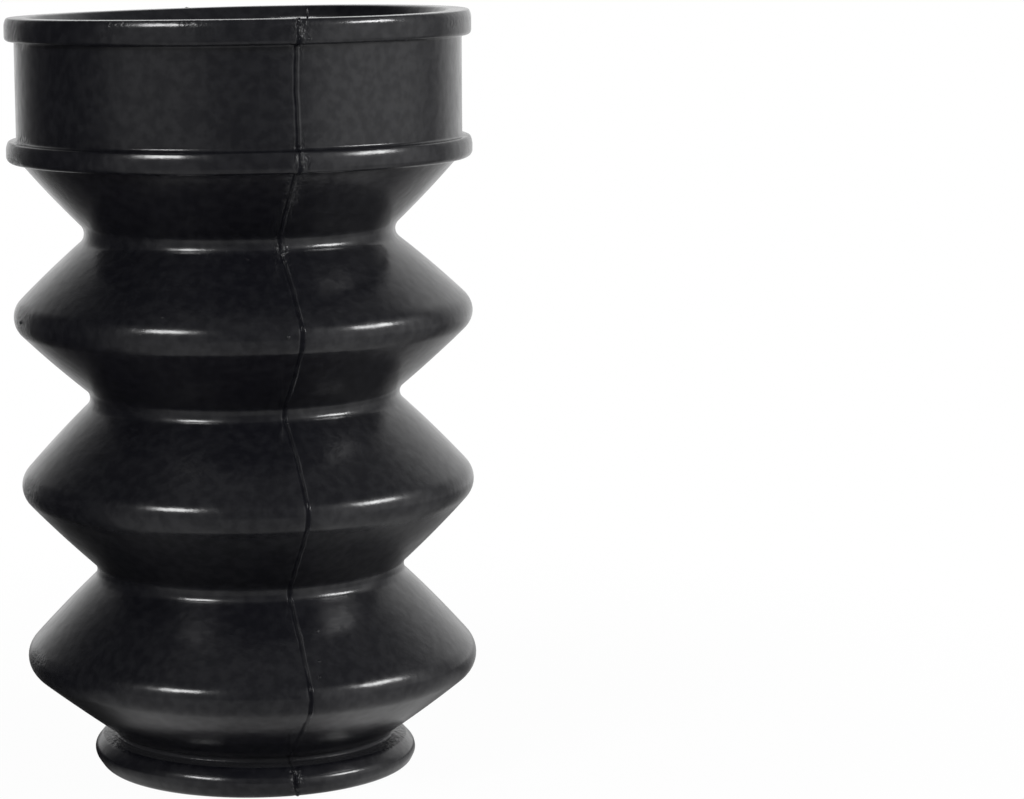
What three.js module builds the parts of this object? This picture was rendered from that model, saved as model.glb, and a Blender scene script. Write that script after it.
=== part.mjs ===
import * as THREE from 'three';

// Fork gaiter: one moulding of black rubber, with a stepped collar above three bellows folds and a
// rolled lip. Millimetres, +Z up, with the origin at the centre of the lip's foot.

// Collar, the wide end, which goes over the shroud of the fork
const COLLAR_BORE_RADIUS = 31.6;
const COLLAR_WALL = 3.4;
const COLLAR_HEIGHT = 15.2;

// Flange above the collar and rib below it, both standing proud of the collar's wall
const FLANGE_PROUD = 1.5;
const FLANGE_THICKNESS = 4.1;
const RIB_PROUD = 1.6;
const RIB_THICKNESS = 3.5;

// Shoulder, the slope that narrows from a ledge under the rib to the first root
const SHOULDER_LEDGE = 2.2;
const SHOULDER_HEIGHT = 11.5;

// Bellows, from the top fold down. A crest's radius is where its two flanks would meet unrounded,
// and each fold flares out from the root above it and tapers in again below its crest.
const UPPER_FLARE_HEIGHT = 12.9;
const UPPER_CREST_RADIUS = 38.0;
const UPPER_TAPER_HEIGHT = 13.0;
const MIDDLE_FLARE_HEIGHT = 14.0;
const MIDDLE_CREST_RADIUS = 37.4;
const MIDDLE_TAPER_HEIGHT = 13.9;
const LOWER_FLARE_HEIGHT = 14.5;
const LOWER_CREST_RADIUS = 37.7;
const LOWER_TAPER_HEIGHT = 11.9;
const ROOT_RADIUS = 23.8;
const FOLD_WALL = 2.3;

// Neck under the last fold and the rolled lip below it, which grips the fork leg
const NECK_RADIUS = 22.3;
const NECK_HEIGHT = 0.6;
const LIP_BORE_RADIUS = 20.0;
const LIP_THICKNESS = 5.2;
const LIP_PROUD = 3.7;
const LIP_DRAFT = 1.1;

// Roundings of the edges
const CREST_ROUNDING = 3.5;
const ROOT_ROUNDING = 2.0;
const FLANGE_ROUNDING = 1.1;
const RIB_ROUNDING = 1.0;
const LIP_ROUNDING = 1.6;
const BORE_EDGE_ROUNDING = 0.6;
const INNER_BEND_ROUNDING = 1.5;
const LEAST_ROUNDING = 0.3;

// Flash, the fine ridge that the mould's parting line leaves down the outside on both sides. The
// azimuth is in degrees from the front, towards +X.
const FLASH_AZIMUTH = 15;
const FLASH_HEIGHT = 0.3;
const FLASH_HALF_WIDTH = 0.5;

// Facets: how far a chord may stray from its arc, and the sides of the round
const ARC_TOLERANCE = 0.08;
const SIDES_AROUND = 48;

const FOLDS = [
  {
    flareHeight: UPPER_FLARE_HEIGHT,
    crestRadius: UPPER_CREST_RADIUS,
    taperHeight: UPPER_TAPER_HEIGHT,
  },
  {
    flareHeight: MIDDLE_FLARE_HEIGHT,
    crestRadius: MIDDLE_CREST_RADIUS,
    taperHeight: MIDDLE_TAPER_HEIGHT,
  },
  {
    flareHeight: LOWER_FLARE_HEIGHT,
    crestRadius: LOWER_CREST_RADIUS,
    taperHeight: LOWER_TAPER_HEIGHT,
  },
];

const RUBBER = new THREE.MeshStandardMaterial({ color: 0x1b1c1d, roughness: 0.48, metalness: 0 });

// One corner of the section, as its radius from the axis and its height, and the arc that rounds it
function corner(radius, height, rounding = 0) {
  return { place: new THREE.Vector2(radius, height), rounding };
}

// Unit vector square to the side from one place to the next, on the side's right hand
function rightOf(from, to) {
  const along = to.clone().sub(from).normalize();
  return new THREE.Vector2(along.y, -along.x);
}

// The corner that lies one wall's thickness inside a bend of the bellows
function insideBend(before, bend, after, wall) {
  const first = rightOf(before.place, bend.place);
  const second = rightOf(bend.place, after.place);
  const mitre = first.clone().add(second).multiplyScalar(wall / (1 + first.dot(second)));
  const isCrest = bend.place.x > before.place.x;
  const rounding = Math.max(bend.rounding + (isCrest ? -wall : wall), LEAST_ROUNDING);
  return { place: bend.place.clone().add(mitre), rounding };
}

// The height at which a flank's inner face, drawn on through a place of its own, meets a radius
function heightWhereMeets(radius, onFace, flankFrom, flankTo) {
  const slope = (flankTo.place.y - flankFrom.place.y) / (flankTo.place.x - flankFrom.place.x);
  return onFace.place.y + slope * (radius - onFace.place.x);
}

// Points that replace a corner with an arc touching both of its sides, no longer than they allow
function roundedCorner(before, bend, after) {
  const toBefore = before.place.clone().sub(bend.place);
  const toAfter = after.place.clone().sub(bend.place);
  const room = Math.min(toBefore.length(), toAfter.length()) * 0.48;
  toBefore.normalize();
  toAfter.normalize();
  const halfAngle = Math.acos(toBefore.dot(toAfter)) / 2;
  const radius = Math.min(bend.rounding, room * Math.tan(halfAngle));
  if (radius === 0) {
    return [bend.place];
  }
  const bisector = toBefore.clone().add(toAfter).normalize();
  const centre = bend.place.clone().addScaledVector(bisector, radius / Math.sin(halfAngle));
  const start = bend.place.clone().addScaledVector(toBefore, radius / Math.tan(halfAngle));
  const turn = Math.PI - 2 * halfAngle;
  const turnSign = Math.sign(toAfter.cross(toBefore));
  const stepTurn = 2 * Math.acos(Math.max(1 - ARC_TOLERANCE / radius, 0));
  const steps = Math.max(2, Math.ceil(turn / stepTurn));
  return Array.from({ length: steps + 1 }, (_, step) =>
    start.clone().rotateAround(centre, turnSign * turn * step / steps));
}

// Outer corners of the bellows, from the shoulder's ledge down to the neck
function bellowsOutside(shoulderRadius, shoulderTop) {
  const bends = [corner(shoulderRadius, shoulderTop)];
  let height = shoulderTop - SHOULDER_HEIGHT;
  FOLDS.forEach((fold) => {
    bends.push(corner(ROOT_RADIUS, height, ROOT_ROUNDING));
    height -= fold.flareHeight;
    bends.push(corner(fold.crestRadius, height, CREST_ROUNDING));
    height -= fold.taperHeight;
  });
  bends.push(corner(NECK_RADIUS, height));
  return bends;
}

// Inner corners of the bellows, in the same order, from the collar's bore down to the lip's bore
function bellowsInside(outside) {
  const last = outside.length - 1;
  const bends = outside.slice(1, last).map((bend, index) =>
    insideBend(outside[index], bend, outside[index + 2], FOLD_WALL));
  const seatHeight = heightWhereMeets(COLLAR_BORE_RADIUS, bends[0], outside[0], outside[1]);
  const throatHeight = heightWhereMeets(
    LIP_BORE_RADIUS, bends[bends.length - 1], outside[last - 1], outside[last]);
  return [
    corner(COLLAR_BORE_RADIUS, seatHeight, INNER_BEND_ROUNDING),
    ...bends,
    corner(LIP_BORE_RADIUS, throatHeight, INNER_BEND_ROUNDING),
  ];
}

// Corners of the closed section, down the outside and across the foot, then up the inside
function sectionCorners() {
  const foldsHeight = FOLDS.reduce((sum, fold) => sum + fold.flareHeight + fold.taperHeight, 0);
  const shoulderTop = LIP_THICKNESS + NECK_HEIGHT + foldsHeight + SHOULDER_HEIGHT;
  const ribTop = shoulderTop + RIB_THICKNESS;
  const flangeUnder = ribTop + COLLAR_HEIGHT;
  const top = flangeUnder + FLANGE_THICKNESS;
  const collarRadius = COLLAR_BORE_RADIUS + COLLAR_WALL;
  const flangeRadius = collarRadius + FLANGE_PROUD;
  const ribRadius = collarRadius + RIB_PROUD;
  const lipRadius = NECK_RADIUS + LIP_PROUD;
  const bellows = bellowsOutside(ribRadius - SHOULDER_LEDGE, shoulderTop);
  const outside = [
    corner(flangeRadius, top, FLANGE_ROUNDING),
    corner(flangeRadius, flangeUnder, FLANGE_ROUNDING),
    corner(collarRadius, flangeUnder),
    corner(collarRadius, ribTop),
    corner(ribRadius, ribTop, RIB_ROUNDING),
    corner(ribRadius, shoulderTop, RIB_ROUNDING),
    ...bellows,
    corner(NECK_RADIUS, LIP_THICKNESS),
    corner(lipRadius, LIP_THICKNESS, LIP_ROUNDING),
    corner(lipRadius - LIP_DRAFT, 0, LIP_ROUNDING),
  ];
  const inside = [
    corner(LIP_BORE_RADIUS, 0, BORE_EDGE_ROUNDING),
    ...bellowsInside(bellows).reverse(),
    corner(COLLAR_BORE_RADIUS, top, BORE_EDGE_ROUNDING),
  ];
  return { outside, inside };
}

// The section's plain points, and the same points where the flash runs, raised on the outside
// but never above the flange or below the foot
function section() {
  const { outside, inside } = sectionCorners();
  const corners = [...outside, ...inside];
  const count = corners.length;
  const arcs = corners.map((bend, index) =>
    roundedCorner(corners[(index + count - 1) % count], bend, corners[(index + 1) % count]));
  const plain = arcs.flat();
  const outsideCount = arcs.slice(0, outside.length).flat().length;
  const top = outside[0].place.y;
  const flashed = plain.map((point, index) => {
    if (index >= outsideCount) {
      return point;
    }
    const outward = rightOf(plain[index + 1], plain.at(index - 1));
    const raised = point.clone().addScaledVector(outward, FLASH_HEIGHT);
    raised.y = THREE.MathUtils.clamp(raised.y, 0, top);
    return raised;
  });
  return { plain, flashed };
}

// The section's points at each azimuth around the gaiter, with the flash between two plain ones
function columnsAround({ plain, flashed }) {
  const flashTurn = FLASH_HALF_WIDTH / (COLLAR_BORE_RADIUS + COLLAR_WALL);
  const first = THREE.MathUtils.degToRad(FLASH_AZIMUTH);
  return Array.from({ length: SIDES_AROUND }, (_, side) => {
    const azimuth = first + 2 * Math.PI * side / SIDES_AROUND;
    if (side % (SIDES_AROUND / 2) > 0) {
      return [{ azimuth, points: plain }];
    }
    return [
      { azimuth: azimuth - flashTurn, points: plain },
      { azimuth, points: flashed },
      { azimuth: azimuth + flashTurn, points: plain },
    ];
  }).flat();
}

// The closed surface through the columns, around +Z
function turned(columns) {
  const rows = columns[0].points.length;
  const positions = columns.flatMap(({ azimuth, points }) => points.flatMap((point) =>
    [point.x * Math.sin(azimuth), -point.x * Math.cos(azimuth), point.y]));
  const indices = columns.flatMap(({ points }, column) => points.flatMap((_, row) => {
    const nextColumn = (column + 1) % columns.length;
    const nextRow = (row + 1) % rows;
    const here = column * rows + row;
    const below = column * rows + nextRow;
    const beside = nextColumn * rows + row;
    const across = nextColumn * rows + nextRow;
    return [here, below, across, here, across, beside];
  }));
  const geometry = new THREE.BufferGeometry();
  geometry.setAttribute('position', new THREE.Float32BufferAttribute(positions, 3));
  geometry.setIndex(indices);
  geometry.computeVertexNormals();
  return geometry;
}

const gaiterBody = new THREE.Mesh(turned(columnsAround(section())), RUBBER);
gaiterBody.name = 'gaiter_body';

const group = new THREE.Group();
group.add(gaiterBody);

export default group;
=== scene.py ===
import math

import bpy
import numpy as np
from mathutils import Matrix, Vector, noise


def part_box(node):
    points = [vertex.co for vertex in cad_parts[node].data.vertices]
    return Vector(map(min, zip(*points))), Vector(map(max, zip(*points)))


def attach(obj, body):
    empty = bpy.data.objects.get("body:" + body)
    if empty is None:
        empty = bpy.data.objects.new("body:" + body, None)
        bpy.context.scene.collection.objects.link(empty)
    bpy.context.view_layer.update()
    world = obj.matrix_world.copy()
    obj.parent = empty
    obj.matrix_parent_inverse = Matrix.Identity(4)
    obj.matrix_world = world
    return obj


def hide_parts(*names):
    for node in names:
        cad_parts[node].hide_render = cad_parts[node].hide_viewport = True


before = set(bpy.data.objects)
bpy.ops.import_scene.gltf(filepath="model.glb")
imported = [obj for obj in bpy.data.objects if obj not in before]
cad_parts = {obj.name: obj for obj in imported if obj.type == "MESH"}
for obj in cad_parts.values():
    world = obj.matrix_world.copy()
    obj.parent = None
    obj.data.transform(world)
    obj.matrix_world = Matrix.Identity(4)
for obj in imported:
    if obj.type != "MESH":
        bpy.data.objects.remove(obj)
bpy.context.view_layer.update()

# The gaiter's box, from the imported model, sets the height and the widest radius
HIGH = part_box("gaiter_body")[1]
TOP = HIGH.z
MM = 0.001

# Section, in metres. A crest's radius is where its two flanks would meet unrounded.
COLLAR_BORE = 31.6 * MM
MOUTH_RADIUS = 33.0 * MM
MOUTH_DEPTH = 1.8 * MM
COLLAR_RADIUS = 35.0 * MM
FLANGE_RADIUS = 36.5 * MM
FLANGE_TOP_RADIUS = 36.15 * MM
FLANGE_CROWN = 0.85 * MM
COLLAR_HEIGHT = 15.65 * MM
RIB_RADIUS = HIGH.x
RIB_THICKNESS = 3.35 * MM
SHOULDER_RADIUS = 34.4 * MM
SHOULDER_HEIGHT = 11.5 * MM
FOLDS = (
    {"flare": 12.9 * MM, "crest": 38.0 * MM, "taper": 13.0 * MM},
    {"flare": 14.0 * MM, "crest": 37.4 * MM, "taper": 13.9 * MM},
    {"flare": 14.5 * MM, "crest": 37.7 * MM, "taper": 11.9 * MM},
)
ROOT_RADIUS = 23.75 * MM
FOLD_WALL = 2.3 * MM
NECK_RADIUS = 22.3 * MM
NECK_HEIGHT = 0.6 * MM
LIP_THICKNESS = 5.2 * MM
LIP_TOP_RADIUS = 24.3 * MM
LIP_RADIUS = 26.2 * MM
LIP_NOSE_HEIGHT = 2.7 * MM
LIP_FOOT_RADIUS = 24.6 * MM
LIP_BORE = 20.0 * MM

# Crown of the rib: how far each corner lies in from its radius and down from its top, and its arc
RIB_CROWN = (
    (0.37 * MM, 0.00 * MM, 0.45 * MM),
    (0.13 * MM, 0.58 * MM, 3.00 * MM),
    (0.00 * MM, 1.20 * MM, 3.00 * MM),
)

# Roundings of the section's corners, and how far the flanks of the folds bulge
CREST_ROUNDING = 3.5 * MM
ROOT_ROUNDING = 2.0 * MM
EDGE_ROUNDING = 1.1 * MM
BORE_EDGE_ROUNDING = 0.55 * MM
RIM_ROUNDING = 0.4 * MM
MOUTH_ROUNDING = 0.8 * MM
CROWN_ROUNDING = 2.0 * MM
FILLET = 0.35 * MM
CHANNEL_FILLET = 0.8 * MM
LIP_ROUNDING = 1.8 * MM
BEND_ROUNDING = 1.5 * MM
FLANK_BULGE = 0.14 * MM

# Mesh fineness: spacing of points along the section, the turn between points of an arc, the
# largest share of a side that an arc takes, and the columns round the axis. The clearance keeps
# the coarse columns that many fine steps away from the fine ones.
OUTSIDE_STEP = 0.9 * MM
INSIDE_STEP = 3.2 * MM
ARC_STEP = math.radians(9)
INSIDE_ARC_STEP = math.radians(22)
LEAST_ARC_STEPS = 3
ARC_SHARE = 0.48
COARSE_COLUMNS = 192
SEAM_COLUMNS = 14
SEAM_COLUMN_STEP = math.radians(0.16)
SEAM_CLEARANCE = 0.8

# A bend counts in full where the unit vectors along two rows have a dot product this far under 1
SHARP_BEND = 0.01

# Parting line of the mould: azimuths of its two lines, their wander, the ridge of flash, the
# dark crevice along one side of it and the grime and scuffed rubber about it
SEAM_AZIMUTHS = (math.radians(-75.8), math.radians(104.2))
SEAM_WANDER = math.radians(0.5)
WANDER_REACH = math.radians(3.5)
RIDGE_HEIGHT = 0.15 * MM
RIDGE_HALF_WIDTH = 0.30 * MM
CREVICE_DEPTH = 0.06 * MM
CREVICE_PLACE = -0.38 * MM
CREVICE_HALF_WIDTH = 0.26 * MM
CREVICE_SLOPE_WIDTH = 0.42 * MM
BEND_GRIME = 0.9
BEND_GRIME_HALF_WIDTH = 2.2 * RIDGE_HALF_WIDTH
SCUFF_REACH = 1.9 * MM
SCUFFED_HEIGHTS = (118.5 * MM, 99.0 * MM, 93.0 * MM, 85.0 * MM, 3.0 * MM)
SCUFFED_SPAN = 3.0 * MM

# Unevenness along the parting lines: how strong it is, how often it changes in a metre, and
# where in the noise it is read, with a first place, a step to the next line's and a depth
LONG_WANDER = {"strength": 1.3, "frequency": 90, "first": 1.7, "step": 7.3, "depth": 0.4}
SHORT_WANDER = {"strength": 0.45, "frequency": 420, "first": 5.2, "step": 3.1, "depth": 8.8}
UNEVEN_RIDGE = {"strength": 0.8, "frequency": 700, "first": 0.0, "step": 9.1, "depth": 2.2}
UNEVEN_CREVICE = {"strength": 1.2, "frequency": 500, "first": 0.0, "step": 4.3, "depth": 6.7}

# Dull groove above the lip, with a paler grey painted over its shade as fill light
GROOVE_SPAN = 2.2 * MM
GROOVE_GRIME = 0.6
GROOVE_WEAR = 0.35
PAINTED_FILL_SPAN = 2.0 * MM
PAINTED_FILL_RADIUS = 24.0 * MM
PAINTED_FILL_STRENGTH = 0.7

# Wear of the flange and of the rim's face, and the azimuth at which the edges that stand out
# are rough
FLANGE_FOOT = 116.0 * MM
FLANGE_WEAR = 0.22
FLANGE_WEAR_FREQUENCY = 240
RIM_FACE_DEPTH = 0.1 * MM
RIM_WEAR = 0.80
ROUGH_AZIMUTH = math.radians(-163.0)
ROUGH_REACH = math.radians(11.0)

# Slow waves in the rubber, which fade out below a height, so that the foot stays flat
WAVINESS = 0.05 * MM
WAVE_FREQUENCY = 70
WAVES_FULL_FROM = 3.0 * MM

# How the soft rubber stands: heights in millimetres with the shift of the ring there to the
# side in millimetres, and with the tilt of its plane in degrees
RING_SHIFTS = (
    (0.0, 1.20), (2.7, 0.76), (5.8, 0.66), (17.7, 0.60), (32.2, 0.36), (46.1, 0.22),
    (60.1, -0.25), (73.1, -0.20), (86.0, -0.76), (99.0, -0.54), (120.0, -0.60),
)
RING_TILTS = (
    (0.0, 0.0), (4.0, -0.95), (17.7, -0.45), (32.2, 0.12), (60.1, 0.58), (86.0, 0.56),
    (110.0, 0.50), (116.5, 0.72), (118.5, 1.05),
)

# How the rim's face has warped: raised all round, more behind than in front, sunk at its sides
# and twisted
RIM_WARPS_FROM = 116.8 * MM
RIM_RAISED = 0.06 * MM
RIM_RAISED_BEHIND = 0.09 * MM
RIM_SUNK_SIDES = 0.06 * MM
RIM_TWIST = 0.18 * MM

# Pips that the mould left, each with its azimuth in degrees, height and radius. A pip rises by
# a share of its radius, and starts a smaller share of it under the surface.
PIPS = (
    (12.0, 1.5 * MM, 0.40 * MM),
    (-72.6, 73.4 * MM, 0.35 * MM),
    (-20.5, 76.0 * MM, 0.22 * MM),
    (10.3, 73.5 * MM, 0.30 * MM),
    (20.1, 26.8 * MM, 0.30 * MM),
    (17.8, 23.0 * MM, 0.25 * MM),
    (16.8, 21.3 * MM, 0.25 * MM),
    (16.7, 117.3 * MM, 0.35 * MM),
    (-24.3, 96.3 * MM, 0.20 * MM),
    (37.1, 89.6 * MM, 0.20 * MM),
    (2.2, 84.2 * MM, 0.20 * MM),
)
PIP_RISE = 0.7
PIP_SINK = 0.25
PIP_SIDES = 10
PIP_RINGS = 3

# Nib of flash that stands up on the rim beside the parting line
NIB_AZIMUTH = 16.6
NIB_RADIUS = 35.4 * MM
NIB_WIDTH = 0.17 * MM
NIB_HEIGHT = 1.5 * MM

# Rubber: its two blacks, a paler grey painted on as fill light, and the noises that mottle, smear and
# roughen it
BLACK = (0.0060, 0.0061, 0.0084, 1)
PALER_BLACK = (0.0102, 0.0104, 0.0130, 1)
PAINTED_FILL_GREY = (0.0300, 0.0300, 0.0330, 1)
RUBBER_IOR = 1.5
BLOTCHES = {"scale": 650, "detail": 8}
SMEARS = {"scale": 220, "detail": 5}
GRAIN = {"scale": 600, "detail": 6}
HAIRS = {"scale": 450, "detail": 4}
HAIR_PATCHES = {"scale": 70, "detail": 2}
SCUFFS = {"scale": 1800, "detail": 3}

# The stretch of each noise, which runs from 0 to 1, over which what it rules changes, and the
# middle of the noise, along which a hairline runs
PALER_RANGE = (0.35, 0.70)
GLOSS_RANGE = (0.35, 0.65)
SMEAR_RANGE = (0.30, 0.70)
PATCH_RANGE = (0.45, 0.65)
NOISE_MIDDLE = 0.5

# Rubber's gloss: its range over the blotches and what grime leaves of it, its roughness over the
# smears, what is added under the middle fold, and what the rim's face keeps of it
GLOSS = (0.44, 0.56)
GLOSS_IN_GRIME = 0.1
FULL_GRIME = 0.9
ROUGHNESS = (0.17, 0.23)
MATT_UNDERSIDE = 0.14
UNDERSIDE_FACING = (-0.6, -0.25)
MIDDLE_FOLD_FOOT = (20.0 * MM, 22.0 * MM)
MIDDLE_FOLD_HEAD = (42.0 * MM, 44.5 * MM)
RIM_FACE_HEIGHTS = (TOP - 0.7 * MM, TOP - 0.3 * MM)
RIM_POLISH = 0.8

# Rubber's relief: how deep the grain, the hairlines and the scuffs are, and how strong
GRAIN_DEPTH = 0.10 * MM
GRAIN_STRENGTH = 0.35
HAIRLINE_DEPTH = 0.025 * MM
HAIRLINE_STRENGTH = 0.2
HAIRLINE_WIDTH = 0.02
SCUFF_DEPTH = 0.40 * MM

# Camera, fitted to the photograph's rims and folds
CAMERA_DISTANCE = 510 * MM
CAMERA_HEIGHT = 134.0 * MM
CAMERA_PITCH = math.radians(8.40)
CAMERA_YAW = math.radians(4.76)
FOCAL_PIXELS = 3216.5
IMAGE_WIDTH = 1024
SENSOR_WIDTH = 36
CLIP_START = 0.01
CLIP_END = 100

# Studio: a white floor, two softboxes, a bright backdrop behind the gaiter with some light from
# the right and the left, and a dark side at the left. Azimuths are in degrees, 0 in front of the
# gaiter and positive to its right; levels are radiances, where 1 is white, and the dark side's is
# the share that it takes away. A sector is full out to one angle from its azimuth and gone at
# another, and fades out between two heights of the direction, where 1 is straight up.
SURROUND_LEVEL = 0.185
BRIGHT_SECTORS = (
    {"azimuth": 178, "full": 25, "gone": 70, "fade": (0.55, 0.85), "level": 0.78},
    {"azimuth": 70, "full": 5, "gone": 50, "fade": (0.45, 0.75), "level": 0.70},
    {"azimuth": -42, "full": 5, "gone": 35, "fade": (0.45, 0.75), "level": 0.20},
)
DARK_SECTOR = {"azimuth": -112, "full": 12, "gone": 50, "fade": (0.85, 0.98), "level": 0.82}
SOFTBOX_DISTANCE = 1.2
SOFTBOXES = {
    "softbox_left": {"azimuth": -41, "elevation": 31, "width": 0.38, "height": 0.24, "radiance": 20},
    "softbox_right": {"azimuth": 70, "elevation": 24.5, "width": 0.44, "height": 0.20, "radiance": 22},
}

# Floor: its size and colour, the share of plain white that the camera sees over the gaiter's
# shadow and how far out the shadow ends, and what the gaiter's gloss shows of the floor near by:
# the studio's level less a dip, and more light in front
FLOOR_SIZE = 24.0
FLOOR_WHITE = (0.9, 0.9, 0.9, 1)
FLOOR_GLOW = 0.97
SHADOW_EDGE = (0.06, 0.20)
NEAR_FLOOR_EDGE = (0.15, 0.50)
NEAR_FLOOR_DIP = 0.4
NEAR_FLOOR_FRONT = {"azimuth": 0, "full": 30, "gone": 75, "fade": (0.5, 0.9), "level": 0.27}


def heading(azimuth, elevation=0.0):
    """The unit vector towards an azimuth and elevation, in degrees."""
    turn, rise = math.radians(azimuth), math.radians(elevation)
    return Vector((math.sin(turn) * math.cos(rise), -math.cos(turn) * math.cos(rise), math.sin(rise)))


def unit(vector):
    """A vector of the section, brought to a length of 1."""
    return vector / np.hypot(*vector)


def outward_of(side):
    """The unit vector square to a side of the section that points out of the rubber."""
    along = unit(side)
    return np.array([-along[1], along[0]])


def turned(vector, angle):
    """A vector of the section, turned by an angle."""
    cos, sin = math.cos(angle), math.sin(angle)
    return np.array([cos * vector[0] - sin * vector[1], sin * vector[0] + cos * vector[1]])


def rounded(before, bend, after, radius, arc_step):
    """Points of the arc that rounds one corner of the section."""
    to_before = before - bend
    to_after = after - bend
    room = ARC_SHARE * min(np.hypot(*to_before), np.hypot(*to_after))
    to_before = unit(to_before)
    to_after = unit(to_after)
    half = math.acos(np.clip(to_before @ to_after, -1, 1)) / 2
    radius = min(radius, room * math.tan(half))
    centre = bend + unit(to_before + to_after) * radius / math.sin(half)
    start = bend + to_before * radius / math.tan(half) - centre
    turn = math.copysign(math.pi - 2 * half, to_after[0] * to_before[1] - to_after[1] * to_before[0])
    steps = max(LEAST_ARC_STEPS, math.ceil(abs(turn) / arc_step))
    return [centre + turned(start, turn * step / steps) for step in range(steps + 1)]


def bellows_outside(shoulder_top):
    """Corners of the bellows' outer face, from the shoulder's ledge down to the neck."""
    corners = [(SHOULDER_RADIUS, shoulder_top, FILLET)]
    height = shoulder_top - SHOULDER_HEIGHT
    for fold in FOLDS:
        corners.append((ROOT_RADIUS, height, ROOT_ROUNDING))
        height -= fold["flare"]
        corners.append((fold["crest"], height, CREST_ROUNDING))
        height -= fold["taper"]
    corners.append((NECK_RADIUS, height, FILLET))
    return corners


def inside_bend(before, bend, after):
    """The corner of the inner face one wall inside a bend of the bellows."""
    first = outward_of(bend - before)
    second = outward_of(after - bend)
    return bend - (first + second) * FOLD_WALL / (1 + first @ second)


def height_at(radius, on_face, flank):
    """Where an inner face, drawn on from one place beside a flank of the bellows, meets a radius."""
    return on_face[1] + flank[1] / flank[0] * (radius - on_face[0])


def bellows_inside(outside):
    """Corners of the inner face in the same order, from the collar's bore down to the lip's bore."""
    places = [np.array(corner[:2]) for corner in outside]
    inner = []
    for index in range(1, len(places) - 1):
        is_crest = places[index][0] > places[index - 1][0]
        rounding = outside[index][2] + (-FOLD_WALL if is_crest else FOLD_WALL)
        inner.append((*inside_bend(*places[index - 1:index + 2]), rounding))
    seat = height_at(COLLAR_BORE, inner[0], places[1] - places[0])
    throat = height_at(LIP_BORE, inner[-1], places[-1] - places[-2])
    return [(COLLAR_BORE, seat, BEND_ROUNDING), *inner, (LIP_BORE, throat, BEND_ROUNDING)]


def section_corners():
    """Corners of the outline, down the outside and up the inside, each with its rounding.

    Also gives the numbers of the corners from which a flank of the bellows starts.
    """
    folds_height = sum(fold["flare"] + fold["taper"] for fold in FOLDS)
    shoulder_top = LIP_THICKNESS + NECK_HEIGHT + folds_height + SHOULDER_HEIGHT
    rib_top = shoulder_top + RIB_THICKNESS
    flange_foot = rib_top + COLLAR_HEIGHT
    collar = [
        (FLANGE_TOP_RADIUS, TOP, RIM_ROUNDING),
        (FLANGE_RADIUS, TOP - FLANGE_CROWN, CROWN_ROUNDING),
        (FLANGE_RADIUS, flange_foot, EDGE_ROUNDING),
        (COLLAR_RADIUS, flange_foot, FILLET),
        (COLLAR_RADIUS, rib_top, CHANNEL_FILLET),
        *((RIB_RADIUS - inset, rib_top - drop, rounding) for inset, drop, rounding in RIB_CROWN),
        (RIB_RADIUS, shoulder_top, EDGE_ROUNDING),
    ]
    bellows = bellows_outside(shoulder_top)
    outside = [
        *collar,
        *bellows,
        (NECK_RADIUS, LIP_THICKNESS, FILLET),
        (LIP_TOP_RADIUS, LIP_THICKNESS - FILLET, LIP_ROUNDING),
        (LIP_RADIUS, LIP_NOSE_HEIGHT, LIP_ROUNDING),
        (LIP_FOOT_RADIUS, 0.0, LIP_ROUNDING),
    ]
    inside = [
        (LIP_BORE, 0.0, BORE_EDGE_ROUNDING),
        *reversed(bellows_inside(bellows)),
        (COLLAR_BORE, TOP - MOUTH_DEPTH, BEND_ROUNDING),
        (MOUTH_RADIUS, TOP, MOUTH_ROUNDING),
    ]
    flank_starts = range(len(collar), len(collar) + len(bellows) - 1)
    return outside, inside, flank_starts


def section():
    """The closed outline, down the outside and up the inside, as radius and height.

    Each row also says how far it lies on the outside, from 0 in the bore to 1 on the outer face.
    """
    outside, inside, flank_starts = section_corners()
    corners = outside + inside
    places = [np.array(corner[:2]) for corner in corners]
    levels = [1.0] * len(outside) + [0.0] * len(inside)
    arcs = []
    for index, place in enumerate(places):
        after = places[(index + 1) % len(places)]
        arc_step = ARC_STEP if levels[index] else INSIDE_ARC_STEP
        arcs.append(rounded(places[index - 1], place, after, corners[index][2], arc_step))
    points = []
    outsideness = []
    for index, arc in enumerate(arcs):
        following = (index + 1) % len(arcs)
        points.extend(arc)
        outsideness.extend([levels[index]] * len(arc))
        side = arcs[following][0] - arc[-1]
        bulge = outward_of(side) * FLANK_BULGE * (index in flank_starts)
        steps = max(1, round(np.hypot(*side) / (OUTSIDE_STEP if levels[index] else INSIDE_STEP)))
        for step in range(1, steps):
            part = step / steps
            points.append(arc[-1] + side * part + bulge * 4 * part * (1 - part))
            outsideness.append(levels[index] + (levels[following] - levels[index]) * part)
    return np.array(points), np.array(outsideness)


def turns_from(azimuths, centre):
    """How far each azimuth lies from a centre, the shorter way round."""
    return np.array([math.remainder(azimuth - centre, math.tau) for azimuth in azimuths])


def column_azimuths():
    """Azimuths of the mesh's columns, crowded together at both parting lines."""
    fine = SEAM_COLUMN_STEP * np.arange(-SEAM_COLUMNS, SEAM_COLUMNS + 1)
    coarse = math.tau * np.arange(COARSE_COLUMNS) / COARSE_COLUMNS - math.pi
    reach = SEAM_COLUMN_STEP * (SEAM_COLUMNS + SEAM_CLEARANCE)
    is_clear = np.all([np.abs(turns_from(coarse, seam)) > reach for seam in SEAM_AZIMUTHS], axis=0)
    azimuths = np.concatenate([coarse[is_clear], *(seam + fine for seam in SEAM_AZIMUTHS)])
    return np.sort(turns_from(azimuths, 0.0))


def swell(distance, centre, half_width):
    """A smooth hump, 1 at its centre and 0 from its half width on."""
    across = np.clip(np.abs(distance - centre) / half_width, 0, 1)
    return (1 + np.cos(math.pi * across)) / 2


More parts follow.
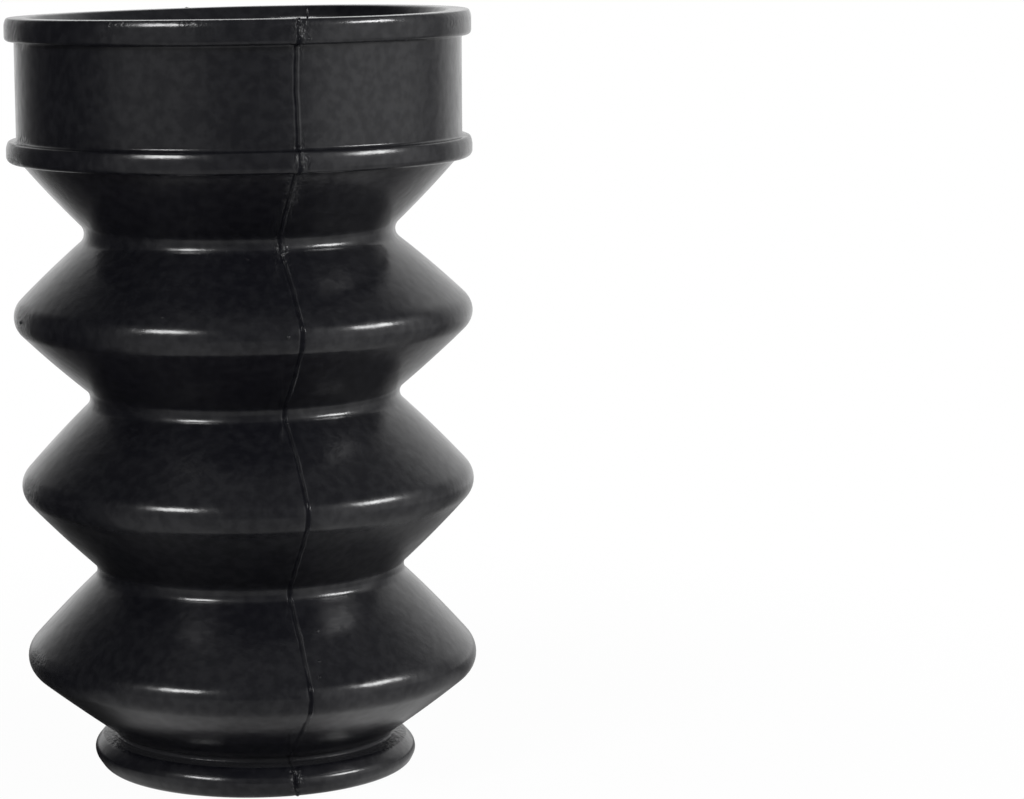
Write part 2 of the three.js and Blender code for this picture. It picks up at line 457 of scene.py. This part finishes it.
class Skin:
    """The surface of the upright gaiter, as rows of the section by columns round the axis.

    Each point has its azimuth in turns, its height above the plain surface in lifts, and in marks
    how grimy and scuffed the rubber is there, and how much painted fill light lightens its shade.
    """

    def __init__(self):
        self.outline, outsideness = section()
        self.radii = self.outline[:, :1]
        self.heights = self.outline[:, 1:]
        self.outside = outsideness[:, None]
        self.azimuths = column_azimuths()
        to_next = np.roll(self.outline, -1, axis=0) - self.outline
        # Length along the section from the first row to each row
        self.lengths = np.concatenate([[0], np.cumsum(np.hypot(*to_next.T))[:-1]])
        along = to_next + np.roll(to_next, 1, axis=0)
        along /= np.hypot(*along.T)[:, None]
        self.normals = np.stack([-along[:, 1], along[:, 0]], axis=1)
        # How sharply the section bends at each row, from 0 on a flank to 1 in an arc
        straightness = (along * np.roll(along, -1, axis=0)).sum(axis=1)
        self.bends = np.clip((1 - straightness) / SHARP_BEND, 0, 1)[:, None]
        self.turns = np.tile(self.azimuths, (len(self.outline), 1))
        self.lifts = np.zeros(self.turns.shape)
        self.marks = {name: np.zeros(self.turns.shape) for name in ("grime", "scuff", "painted_fill")}

    def noise_along(self, seam_index, strength, frequency, first, step, depth):
        """Unevenness along one parting line, with one value for each row."""
        place = first + step * seam_index
        values = [noise.noise(Vector((length * frequency, place, depth))) for length in self.lengths]
        return strength * np.array(values)[:, None]

    def noise_over(self, frequency):
        """Unevenness all over the surface."""
        values = np.zeros(self.turns.shape)
        for row, (radius, height) in enumerate(self.outline):
            for column, azimuth in enumerate(self.azimuths):
                where = Vector((radius * math.cos(azimuth), radius * math.sin(azimuth), height))
                values[row, column] = noise.noise(where * frequency)
        return values

    def add_parting_line(self, seam_index):
        """A fine ridge that wanders, with a crevice along one side and scuffed rubber about it."""
        away = turns_from(self.azimuths, SEAM_AZIMUTHS[seam_index])
        wander = self.noise_along(seam_index, **LONG_WANDER) + self.noise_along(seam_index, **SHORT_WANDER)
        self.turns += SEAM_WANDER * wander * np.exp(-(away / WANDER_REACH) ** 2)
        beside = away * self.radii
        uneven = 1 + self.noise_along(seam_index, **UNEVEN_RIDGE)
        ridge = uneven * swell(beside, 0.0, RIDGE_HALF_WIDTH)
        deep = np.clip(1 + self.noise_along(seam_index, **UNEVEN_CREVICE), 0, 1)
        crevice_width = np.where(beside < CREVICE_PLACE, CREVICE_SLOPE_WIDTH, CREVICE_HALF_WIDTH)
        crevice = deep * swell(beside, CREVICE_PLACE, crevice_width)
        self.lifts += self.outside * (RIDGE_HEIGHT * ridge - CREVICE_DEPTH * crevice)
        in_bends = self.bends * swell(beside, 0.0, BEND_GRIME_HALF_WIDTH)
        self.marks["grime"] += self.outside * (crevice + BEND_GRIME * in_bends)
        scuffed = [np.exp(-((self.heights - place) / SCUFFED_SPAN) ** 2) for place in SCUFFED_HEIGHTS]
        about = np.max(scuffed, axis=0) * swell(beside, 0.0, SCUFF_REACH)
        self.marks["scuff"] += self.outside * about

    def add_groove_grime_and_painted_fill(self):
        """Grime and wear in the groove above the lip, and painted fill light that lightens its shade."""
        above_lip = self.heights - LIP_THICKNESS
        in_groove = (np.abs(above_lip) < GROOVE_SPAN) & (self.radii < NECK_RADIUS + GROOVE_SPAN)
        self.marks["grime"] += GROOVE_GRIME * self.outside * in_groove
        self.marks["scuff"] += GROOVE_WEAR * self.outside * in_groove
        # Painted fill light: a paler grey that lightens the shade in the groove above the lip
        painted_fill_share = np.exp(-(above_lip / PAINTED_FILL_SPAN) ** 2) * (self.radii < PAINTED_FILL_RADIUS)
        self.marks["painted_fill"] += PAINTED_FILL_STRENGTH * self.outside * painted_fill_share

    def add_wear(self):
        """Wear on the rim's face and the flange, and the rough side of the edges that stand out."""
        on_face = self.outside * (self.heights > TOP - RIM_FACE_DEPTH)
        self.marks["scuff"] += RIM_WEAR * on_face * np.sin(self.azimuths) ** 2
        on_flange = (self.outside > 0) & (self.heights > FLANGE_FOOT)
        worn = np.maximum(self.noise_over(FLANGE_WEAR_FREQUENCY), 0)
        self.marks["scuff"] += FLANGE_WEAR * on_flange * worn
        edges = (self.radii > SHOULDER_RADIUS) * np.maximum(self.bends, self.heights > FLANGE_FOOT)
        from_rough_side = turns_from(self.azimuths, ROUGH_AZIMUTH)
        self.marks["scuff"] += self.outside * edges * swell(from_rough_side, 0.0, ROUGH_REACH)

    def add_waves(self):
        """Slow waves all over, apart from the foot."""
        fade = np.minimum(1, self.heights / WAVES_FULL_FROM)
        self.lifts += WAVINESS * fade * self.noise_over(WAVE_FREQUENCY)

    def points(self):
        """The place of every point, row by row."""
        out = self.radii + self.normals[:, :1] * self.lifts
        up = np.maximum(self.heights + self.normals[:, 1:] * self.lifts, 0)
        return np.stack([out * np.cos(self.turns), out * np.sin(self.turns), up], axis=-1).reshape(-1, 3)

    def faces(self):
        """Four point numbers for every face."""
        here = np.arange(self.turns.size).reshape(self.turns.shape)
        below = np.roll(here, -1, axis=0)
        corners = [here, below, np.roll(below, -1, axis=1), np.roll(here, -1, axis=1)]
        return np.stack(corners, axis=-1).reshape(-1, 4).tolist()


def leaning(places):
    """The places of the upright gaiter, shifted and tilted as the soft rubber stands."""
    x, y, z = places.T
    shift_heights, shifts = np.array(RING_SHIFTS).T * MM
    tilt_heights, tilts = np.array(RING_TILTS).T
    shift = np.interp(z, shift_heights, shifts)
    tilt = np.interp(z, tilt_heights * MM, np.radians(tilts))
    warping = np.clip((z - RIM_WARPS_FROM) / (TOP - RIM_WARPS_FROM), 0, 1)
    across, back = x / FLANGE_RADIUS, y / FLANGE_RADIUS
    raised = RIM_RAISED + RIM_RAISED_BEHIND * back - RIM_SUNK_SIDES * across ** 2 + RIM_TWIST * across * back
    return np.stack([x + shift, y, z + x * np.tan(tilt) + warping * raised], axis=-1)


def dome(place, outward, radius, height):
    """A pip's rings, from just under the surface to its tip, and the faces between them."""
    axes = outward.to_track_quat("Z", "Y").to_matrix()
    sink = radius * PIP_SINK
    points = []
    for ring in range(PIP_RINGS):
        rise = math.pi / 2 * ring / PIP_RINGS
        across = radius * math.cos(rise)
        up = height * math.sin(rise) - sink
        for side in range(PIP_SIDES):
            turn = math.tau * side / PIP_SIDES
            points.append(place + axes @ Vector((across * math.cos(turn), across * math.sin(turn), up)))
    points.append(place + outward * (height - sink))
    faces = [tuple(reversed(range(PIP_SIDES)))]
    for side in range(PIP_SIDES):
        beside = (side + 1) % PIP_SIDES
        for low in range(0, (PIP_RINGS - 1) * PIP_SIDES, PIP_SIDES):
            high = low + PIP_SIDES
            faces.append((low + side, low + beside, high + beside, high + side))
        faces.append((high + side, high + beside, len(points) - 1))
    return points, faces


def pips(skin):
    """The points and faces of every pip and of the nib, on the upright gaiter."""
    outer_rows = np.flatnonzero(skin.outside == 1)
    parts = []
    for azimuth, height, radius in PIPS:
        row = outer_rows[np.argmin(np.abs(skin.outline[outer_rows, 1] - height))]
        around = heading(azimuth)
        place = around * skin.outline[row, 0] + Vector((0, 0, skin.outline[row, 1]))
        outward = around * skin.normals[row, 0] + Vector((0, 0, skin.normals[row, 1]))
        parts.append(dome(place, outward, radius, radius * PIP_RISE))
    nib_foot = heading(NIB_AZIMUTH) * NIB_RADIUS + Vector((0, 0, TOP))
    parts.append(dome(nib_foot, Vector((0, 0, 1)), NIB_WIDTH, NIB_HEIGHT))
    return parts


def gaiter_mesh():
    """The gaiter as the soft rubber stands, with its marks as attributes of the mesh's points."""
    skin = Skin()
    for seam_index in range(len(SEAM_AZIMUTHS)):
        skin.add_parting_line(seam_index)
    skin.add_groove_grime_and_painted_fill()
    skin.add_wear()
    skin.add_waves()
    places = skin.points().tolist()
    faces = skin.faces()
    for pip_places, pip_faces in pips(skin):
        faces += [tuple(len(places) + corner for corner in face) for face in pip_faces]
        places += [tuple(place) for place in pip_places]
    mesh = bpy.data.meshes.new("gaiter_skin")
    mesh.from_pydata(leaning(np.array(places)).tolist(), [], faces)
    mesh.validate()
    mesh.update()
    mesh.polygons.foreach_set("use_smooth", [True] * len(mesh.polygons))
    for name, marks in skin.marks.items():
        values = np.zeros(len(places))
        values[:marks.size] = marks.ravel()
        mesh.attributes.new(name, "FLOAT", "POINT").data.foreach_set("value", values)
    return mesh


class Shading:
    """The nodes of one material or world, with a short way to add each kind that is used here."""

    def __init__(self, tree):
        self.nodes = tree.nodes
        self.links = tree.links

    def feed(self, socket, value):
        """Gives a socket a value of its own, or links another node's output to it."""
        if isinstance(value, bpy.types.NodeSocket):
            self.links.new(value, socket)
        else:
            socket.default_value = value

    def output(self, kind, name):
        """One output of a new node that has no inputs to set."""
        return self.nodes.new(kind).outputs[name]

    def math(self, operation, first, second=0.0):
        node = self.nodes.new("ShaderNodeMath")
        node.operation = operation
        self.feed(node.inputs[0], first)
        self.feed(node.inputs[1], second)
        return node.outputs["Value"]

    def vector_math(self, operation, first, second=(0, 0, 0)):
        node = self.nodes.new("ShaderNodeVectorMath")
        node.operation = operation
        self.feed(node.inputs[0], first)
        self.feed(node.inputs[1], second)
        return node.outputs["Vector" if operation == "NORMALIZE" else "Value"]

    def remap(self, source, low, high, low_value=0.0, high_value=1.0):
        """Takes a value smoothly from one range to another."""
        node = self.nodes.new("ShaderNodeMapRange")
        node.interpolation_type = "SMOOTHSTEP"
        self.feed(node.inputs["Value"], source)
        self.feed(node.inputs["From Min"], low)
        self.feed(node.inputs["From Max"], high)
        self.feed(node.inputs["To Min"], low_value)
        self.feed(node.inputs["To Max"], high_value)
        return node.outputs["Result"]

    def height_of(self, vector):
        """A vector's upright part."""
        parts = self.nodes.new("ShaderNodeSeparateXYZ")
        self.feed(parts.inputs["Vector"], vector)
        return parts.outputs["Z"]

    def noise(self, vector, scale, detail):
        node = self.nodes.new("ShaderNodeTexNoise")
        self.feed(node.inputs["Vector"], vector)
        self.feed(node.inputs["Scale"], scale)
        self.feed(node.inputs["Detail"], detail)
        return node.outputs["Fac"]

    def attribute(self, name):
        node = self.nodes.new("ShaderNodeAttribute")
        node.attribute_name = name
        return node.outputs["Fac"]

    def mix(self, factor, first, second):
        """Takes one colour to another."""
        node = self.nodes.new("ShaderNodeMix")
        node.data_type = "RGBA"
        self.feed(node.inputs["Factor"], factor)
        self.feed(node.inputs["A"], first)
        self.feed(node.inputs["B"], second)
        return node.outputs["Result"]

    def bump(self, height, strength, distance, normal=None):
        """A normal that shows a relief, on top of the relief that another normal shows."""
        node = self.nodes.new("ShaderNodeBump")
        self.feed(node.inputs["Height"], height)
        self.feed(node.inputs["Strength"], strength)
        self.feed(node.inputs["Distance"], distance)
        if normal is not None:
            self.feed(node.inputs["Normal"], normal)
        return node.outputs["Normal"]


def rubber_colour(shading, blotches):
    """Two blacks in blotches, under a paler grey painted as fill light on the groove's shade."""
    mottled = shading.mix(shading.remap(blotches, *PALER_RANGE), BLACK, PALER_BLACK)
    # The paler grey is painted fill light over the shade in the groove above the lip
    return shading.mix(shading.attribute("painted_fill"), mottled, PAINTED_FILL_GREY)


def rubber_gloss(shading, blotches):
    """A gloss that is a little uneven, and dull where there is grime."""
    gloss = shading.remap(blotches, *GLOSS_RANGE, *GLOSS)
    dulled = shading.remap(shading.attribute("grime"), 0.0, FULL_GRIME, 1.0, GLOSS_IN_GRIME)
    return shading.math("MULTIPLY", gloss, dulled)


def rubber_roughness(shading, place):
    """Smooth rubber in smears, smoother on the rim's face and matt under the middle fold."""
    smeared = shading.remap(shading.noise(place, **SMEARS), *SMEAR_RANGE, *ROUGHNESS)
    normal = shading.output("ShaderNodeNewGeometry", "Normal")
    underside = shading.remap(shading.height_of(normal), *UNDERSIDE_FACING, MATT_UNDERSIDE, 0.0)
    height = shading.height_of(place)
    above_foot = shading.remap(height, *MIDDLE_FOLD_FOOT)
    below_head = shading.remap(height, *MIDDLE_FOLD_HEAD, 1.0, 0.0)
    matt = shading.math("MULTIPLY", underside, shading.math("MULTIPLY", above_foot, below_head))
    polish = shading.remap(height, *RIM_FACE_HEIGHTS, 1.0, RIM_POLISH)
    return shading.math("MULTIPLY", shading.math("ADD", smeared, matt), polish)


def rubber_normal(shading, place):
    """The relief of fine grain, of hairlines in some patches, and of the scuffs."""
    grain = shading.bump(shading.noise(place, **GRAIN), GRAIN_STRENGTH, GRAIN_DEPTH)
    from_middle = shading.math("SUBTRACT", shading.noise(place, **HAIRS), NOISE_MIDDLE)
    hairlines = shading.remap(shading.math("ABSOLUTE", from_middle), 0.0, HAIRLINE_WIDTH, 1.0, 0.0)
    patches = shading.remap(shading.noise(place, **HAIR_PATCHES), *PATCH_RANGE)
    wrinkles = shading.math("MULTIPLY", hairlines, patches)
    wrinkled = shading.bump(wrinkles, HAIRLINE_STRENGTH, HAIRLINE_DEPTH, grain)
    return shading.bump(shading.noise(place, **SCUFFS), shading.attribute("scuff"), SCUFF_DEPTH, wrinkled)


def rubber_material():
    """Black rubber with the smooth, faintly mottled gloss that the mould leaves on it."""
    material = bpy.data.materials.new("black_rubber")
    material.use_nodes = True
    shading = Shading(material.node_tree)
    place = shading.output("ShaderNodeTexCoord", "Object")
    blotches = shading.noise(place, **BLOTCHES)
    shader = shading.nodes["Principled BSDF"].inputs
    shading.feed(shader["IOR"], RUBBER_IOR)
    shading.feed(shader["Base Color"], rubber_colour(shading, blotches))
    shading.feed(shader["Specular IOR Level"], rubber_gloss(shading, blotches))
    shading.feed(shader["Roughness"], rubber_roughness(shading, place))
    shading.feed(shader["Normal"], rubber_normal(shading, place))
    return material


def add_gaiter():
    gaiter = bpy.data.objects.new("gaiter_skin", gaiter_mesh())
    bpy.context.scene.collection.objects.link(gaiter)
    gaiter.data.materials.append(rubber_material())
    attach(gaiter, "root")
    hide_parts("gaiter_body")


def add_camera():
    data = bpy.data.cameras.new("camera")
    data.sensor_fit = "HORIZONTAL"
    data.sensor_width = SENSOR_WIDTH
    data.lens = FOCAL_PIXELS * SENSOR_WIDTH / IMAGE_WIDTH
    data.clip_start = CLIP_START
    data.clip_end = CLIP_END
    camera = bpy.data.objects.new("camera", data)
    camera.location = (0, -CAMERA_DISTANCE, CAMERA_HEIGHT)
    camera.rotation_euler = (math.pi / 2 - CAMERA_PITCH, 0, -CAMERA_YAW)
    bpy.context.scene.collection.objects.link(camera)
    bpy.context.scene.camera = camera


def flat_and_height(shading, direction):
    """A direction's unit vector along the ground, and the height of its own unit vector."""
    ahead = shading.vector_math("NORMALIZE", direction)
    parts = shading.nodes.new("ShaderNodeSeparateXYZ")
    shading.feed(parts.inputs["Vector"], ahead)
    level = shading.nodes.new("ShaderNodeCombineXYZ")
    shading.feed(level.inputs["X"], parts.outputs["X"])
    shading.feed(level.inputs["Y"], parts.outputs["Y"])
    return shading.vector_math("NORMALIZE", level.outputs["Vector"]), parts.outputs["Z"]


def sector_level(shading, flat, height, sector):
    """A sector's level in one direction, from its flat unit vector and its height."""
    along = shading.vector_math("DOT_PRODUCT", flat, heading(sector["azimuth"]))
    gone, full = (math.cos(math.radians(sector[edge])) for edge in ("gone", "full"))
    across = shading.remap(along, gone, full, 0.0, sector["level"])
    upward = shading.remap(height, *sector["fade"], 1.0, 0.0)
    return shading.math("MULTIPLY", across, upward)


def surround_level(shading, direction):
    """How bright the studio round the gaiter is in a direction, without the softboxes."""
    flat, height = flat_and_height(shading, direction)
    total = SURROUND_LEVEL
    for sector in BRIGHT_SECTORS:
        total = shading.math("ADD", sector_level(shading, flat, height, sector), total)
    dark = sector_level(shading, flat, height, DARK_SECTOR)
    return shading.math("MULTIPLY", total, shading.math("SUBTRACT", 1.0, dark))


def floor_level(shading, position, away):
    """What the gaiter's gloss shows of the floor: the studio's level, evened out near by."""
    near = shading.remap(away, *NEAR_FLOOR_EDGE, 1.0, 0.0)
    keep = shading.math("SUBTRACT", 1.0, shading.math("MULTIPLY", near, NEAR_FLOOR_DIP))
    level = shading.math("MULTIPLY", surround_level(shading, position), keep)
    front = sector_level(shading, *flat_and_height(shading, position), NEAR_FLOOR_FRONT)
    return shading.math("ADD", level, shading.math("MULTIPLY", front, near))


def floor_material():
    """White to the camera but for the gaiter's shadow, and as the studio is to its gloss."""
    material = bpy.data.materials.new("floor_white")
    material.use_nodes = True
    shading = Shading(material.node_tree)
    nodes = shading.nodes
    nodes.remove(nodes["Principled BSDF"])
    path = nodes.new("ShaderNodeLightPath")
    is_camera, is_glossy = path.outputs["Is Camera Ray"], path.outputs["Is Glossy Ray"]
    position = shading.output("ShaderNodeNewGeometry", "Position")
    away = shading.vector_math("LENGTH", position)
    diffuse = nodes.new("ShaderNodeBsdfDiffuse")
    shading.feed(diffuse.inputs["Color"], FLOOR_WHITE)
    glow = nodes.new("ShaderNodeEmission")
    in_gloss = shading.math("MULTIPLY", floor_level(shading, position, away), is_glossy)
    shading.feed(glow.inputs["Strength"], shading.math("ADD", in_gloss, is_camera))
    seen = shading.math("MULTIPLY", is_camera, shading.remap(away, *SHADOW_EDGE, FLOOR_GLOW, 1.0))
    mix = nodes.new("ShaderNodeMixShader")
    shading.feed(mix.inputs["Fac"], shading.math("ADD", seen, is_glossy))
    shading.feed(mix.inputs[1], diffuse.outputs["BSDF"])
    shading.feed(mix.inputs[2], glow.outputs["Emission"])
    shading.feed(nodes["Material Output"].inputs["Surface"], mix.outputs["Shader"])
    return material


def add_floor():
    half = FLOOR_SIZE / 2
    corners = [(-half, -half, 0), (half, -half, 0), (half, half, 0), (-half, half, 0)]
    mesh = bpy.data.meshes.new("floor")
    mesh.from_pydata(corners, [], [(0, 1, 2, 3)])
    mesh.materials.append(floor_material())
    floor = bpy.data.objects.new("floor", mesh)
    bpy.context.scene.collection.objects.link(floor)


def add_softbox(name, azimuth, elevation, width, height, radiance):
    """A rectangular lamp aimed at the gaiter's middle."""
    data = bpy.data.lights.new(name, "AREA")
    data.shape = "RECTANGLE"
    data.size = width
    data.size_y = height
    data.energy = radiance * math.pi * width * height
    light = bpy.data.objects.new(name, data)
    direction = heading(azimuth, elevation)
    light.location = Vector((0, 0, TOP / 2)) + direction * SOFTBOX_DISTANCE
    light.rotation_euler = direction.to_track_quat("Z", "Y").to_euler()
    bpy.context.scene.collection.objects.link(light)


def add_surround():
    world = bpy.data.worlds.new("surround")
    bpy.context.scene.world = world
    world.use_nodes = True
    shading = Shading(world.node_tree)
    level = surround_level(shading, shading.output("ShaderNodeTexCoord", "Generated"))
    is_camera = shading.output("ShaderNodeLightPath", "Is Camera Ray")
    background = shading.nodes["Background"].inputs
    shading.feed(background["Color"], (1, 1, 1, 1))
    shading.feed(background["Strength"], shading.math("MAXIMUM", level, is_camera))


add_camera()
add_gaiter()
add_floor()
for name, softbox in SOFTBOXES.items():
    add_softbox(name, **softbox)
add_surround()
bpy.context.scene.view_settings.view_transform = "Standard"
